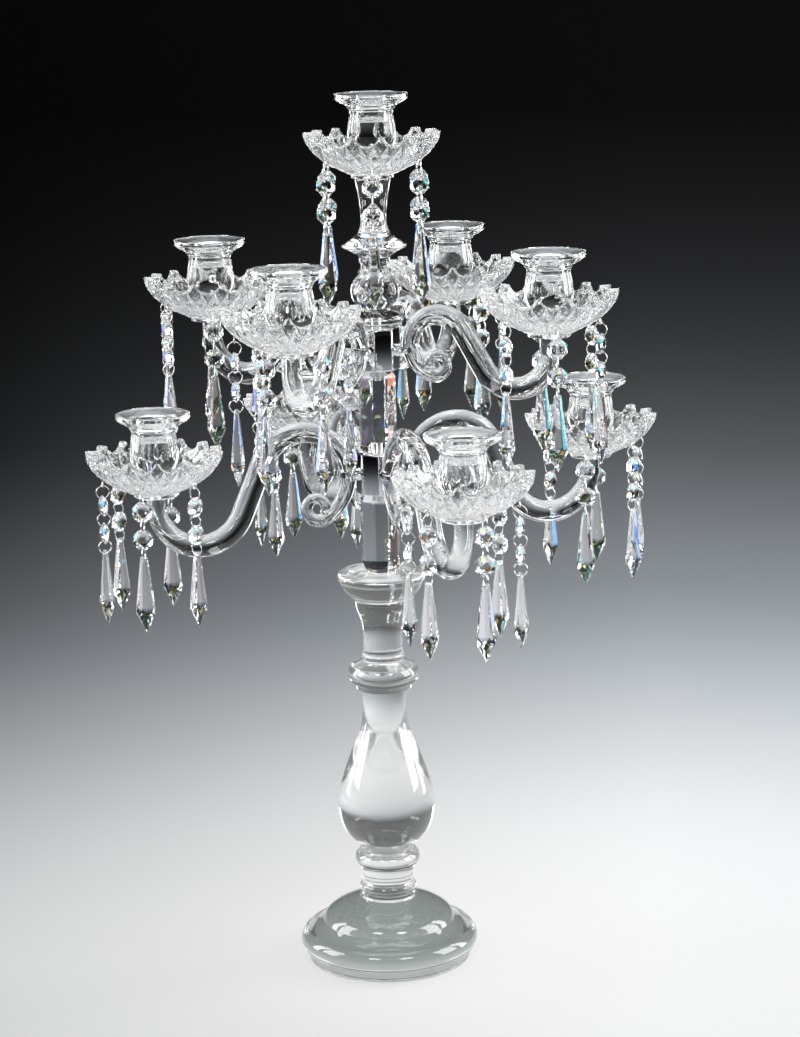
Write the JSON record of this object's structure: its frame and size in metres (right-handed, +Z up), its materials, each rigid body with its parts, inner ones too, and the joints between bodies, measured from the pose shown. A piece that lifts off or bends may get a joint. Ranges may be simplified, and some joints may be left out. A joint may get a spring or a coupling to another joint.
{
  "type": "candelabrum",
  "caption": "Cut-glass candelabrum: pear baluster column, two tiers of scroll arms, candle cups in scalloped drip bowls hung with bead chains and spear drops.",
  "frame": {"origin": "on the column's axis at the underside of the foot's pad", "axes": "+Z up the column, +X along the first upper arm; lower arms lie at 45 degrees to the upper ones"},
  "size_m": [0.4208, 0.4208, 0.74],
  "materials": {
    "felt": "pale felt",
    "crystal_foot": "polished, faintly grey-green where thick",
    "crystal_baluster": "polished clear",
    "crystal_dish": "polished above, finely frosted underside",
    "crystal_prism": "polished cut facets",
    "chrome": "mirror",
    "steel_stud": "plain",
    "crystal_stem": "polished clear",
    "crystal_arm": "polished clear",
    "crystal_cup": "polished clear",
    "cut_crystal": "deep cut pattern, bright",
    "clear_washer": "clear",
    "clear_peg": "clear acrylic",
    "silver_wire": "bright wire",
    "pendant_crystal": "polished facets"
  },
  "bodies": {
    "stand": {"foot_pad": "felt", "foot": "crystal_foot", "neck_spool": "crystal_baluster", "pear_baluster": "crystal_baluster", "collar_ring": "crystal_baluster", "bell_vase": "crystal_baluster", "dish_collar": "crystal_dish", "lower_prism": "crystal_prism", "lower_hub": "chrome", "upper_prism": "crystal_prism", "upper_hub": "chrome", "column_studs": "steel_stud", "hub_cap": "crystal_stem", "ball_stem": "crystal_stem", "top_stem": "crystal_stem", "upper_arm_1": "crystal_arm", "upper_arm_2": "crystal_arm", "upper_arm_3": "crystal_arm", "upper_arm_4": "crystal_arm", "lower_arm_1": "crystal_arm", "lower_arm_2": "crystal_arm", "lower_arm_3": "crystal_arm", "lower_arm_4": "crystal_arm", "arm_pins": "chrome", "candle_cup_top": "crystal_cup", "candle_cup_upper_1": "crystal_cup", "candle_cup_upper_2": "crystal_cup", "candle_cup_upper_3": "crystal_cup", "candle_cup_upper_4": "crystal_cup", "candle_cup_lower_1": "crystal_cup", "candle_cup_lower_2": "crystal_cup", "candle_cup_lower_3": "crystal_cup", "candle_cup_lower_4": "crystal_cup", "cup_studs": "clear_peg", "bowl_washers": "clear_washer"},
    "bowl_top": {"drip_bowl_top": "cut_crystal", "hanger_pins_top": "silver_wire"},
    "pendant_top_1": {"pendant_top_1": "pendant_crystal"},
    "pendant_top_2": {"pendant_top_2": "pendant_crystal"},
    "pendant_top_3": {"pendant_top_3": "pendant_crystal"},
    "pendant_top_4": {"pendant_top_4": "pendant_crystal"},
    "pendant_top_5": {"pendant_top_5": "pendant_crystal"},
    "pendant_top_6": {"pendant_top_6": "pendant_crystal"},
    "bowl_upper_1": {"drip_bowl_upper_1": "cut_crystal", "pendants_upper_1": "pendant_crystal"},
    "bowl_upper_2": {"drip_bowl_upper_2": "cut_crystal", "pendants_upper_2": "pendant_crystal"},
    "bowl_upper_3": {"drip_bowl_upper_3": "cut_crystal", "pendants_upper_3": "pendant_crystal"},
    "bowl_upper_4": {"drip_bowl_upper_4": "cut_crystal", "pendants_upper_4": "pendant_crystal"},
    "bowl_lower_1": {"drip_bowl_lower_1": "cut_crystal", "pendants_lower_1": "pendant_crystal"},
    "bowl_lower_2": {"drip_bowl_lower_2": "cut_crystal", "pendants_lower_2": "pendant_crystal"},
    "bowl_lower_3": {"drip_bowl_lower_3": "cut_crystal", "pendants_lower_3": "pendant_crystal"},
    "bowl_lower_4": {"drip_bowl_lower_4": "cut_crystal", "pendants_lower_4": "pendant_crystal"}
  },
  "joints": [
    {"name": "bowl_top_turn", "type": "hinge", "parent": "stand", "child": "bowl_top", "pos_m": [0, 0, 0.6755], "axis": [0, 0, 1], "continuous": true},
    {"name": "pendant_top_1_swing", "type": "hinge", "parent": "bowl_top", "child": "pendant_top_1", "pos_m": [0.04383, -0.00383, 0.683], "axis": [-0.0872, -0.9962, 0], "range_deg": [-6, 20]},
    {"name": "pendant_top_2_swing", "type": "hinge", "parent": "bowl_top", "child": "pendant_top_2", "pos_m": [0.02524, 0.03604, 0.683], "axis": [0.8192, -0.5736, 0], "range_deg": [-6, 20]},
    {"name": "pendant_top_3_swing", "type": "hinge", "parent": "bowl_top", "child": "pendant_top_3", "pos_m": [-0.0186, 0.03988, 0.683], "axis": [0.9063, 0.4226, 0], "range_deg": [-6, 20]},
    {"name": "pendant_top_4_swing", "type": "hinge", "parent": "bowl_top", "child": "pendant_top_4", "pos_m": [-0.04383, 0.00383, 0.683], "axis": [0.0872, 0.9962, 0], "range_deg": [-6, 20]},
    {"name": "pendant_top_5_swing", "type": "hinge", "parent": "bowl_top", "child": "pendant_top_5", "pos_m": [-0.02524, -0.03604, 0.683], "axis": [-0.8192, 0.5736, 0], "range_deg": [-6, 20]},
    {"name": "pendant_top_6_swing", "type": "hinge", "parent": "bowl_top", "child": "pendant_top_6", "pos_m": [0.0186, -0.03988, 0.683], "axis": [-0.9063, -0.4226, 0], "range_deg": [-6, 20]},
    {"name": "bowl_upper_1_turn", "type": "hinge", "parent": "stand", "child": "bowl_upper_1", "pos_m": [0.1541, 0, 0.5518], "axis": [0, 0, 1], "range_deg": [-30, 30]},
    {"name": "bowl_upper_2_turn", "type": "hinge", "parent": "stand", "child": "bowl_upper_2", "pos_m": [0, 0.1541, 0.5518], "axis": [0, 0, 1], "range_deg": [-30, 30]},
    {"name": "bowl_upper_3_turn", "type": "hinge", "parent": "stand", "child": "bowl_upper_3", "pos_m": [-0.1541, 0, 0.5518], "axis": [0, 0, 1], "range_deg": [-30, 30]},
    {"name": "bowl_upper_4_turn", "type": "hinge", "parent": "stand", "child": "bowl_upper_4", "pos_m": [0, -0.1541, 0.5518], "axis": [0, 0, 1], "range_deg": [-30, 30]},
    {"name": "bowl_lower_1_turn", "type": "hinge", "parent": "stand", "child": "bowl_lower_1", "pos_m": [0.13647, 0.13647, 0.4272], "axis": [0, 0, 1], "range_deg": [-30, 30]},
    {"name": "bowl_lower_2_turn", "type": "hinge", "parent": "stand", "child": "bowl_lower_2", "pos_m": [-0.13647, 0.13647, 0.4272], "axis": [0, 0, 1], "range_deg": [-30, 30]},
    {"name": "bowl_lower_3_turn", "type": "hinge", "parent": "stand", "child": "bowl_lower_3", "pos_m": [-0.13647, -0.13647, 0.4272], "axis": [0, 0, 1], "range_deg": [-30, 30]},
    {"name": "bowl_lower_4_turn", "type": "hinge", "parent": "stand", "child": "bowl_lower_4", "pos_m": [0.13647, -0.13647, 0.4272], "axis": [0, 0, 1], "range_deg": [-30, 30]}
  ]
}
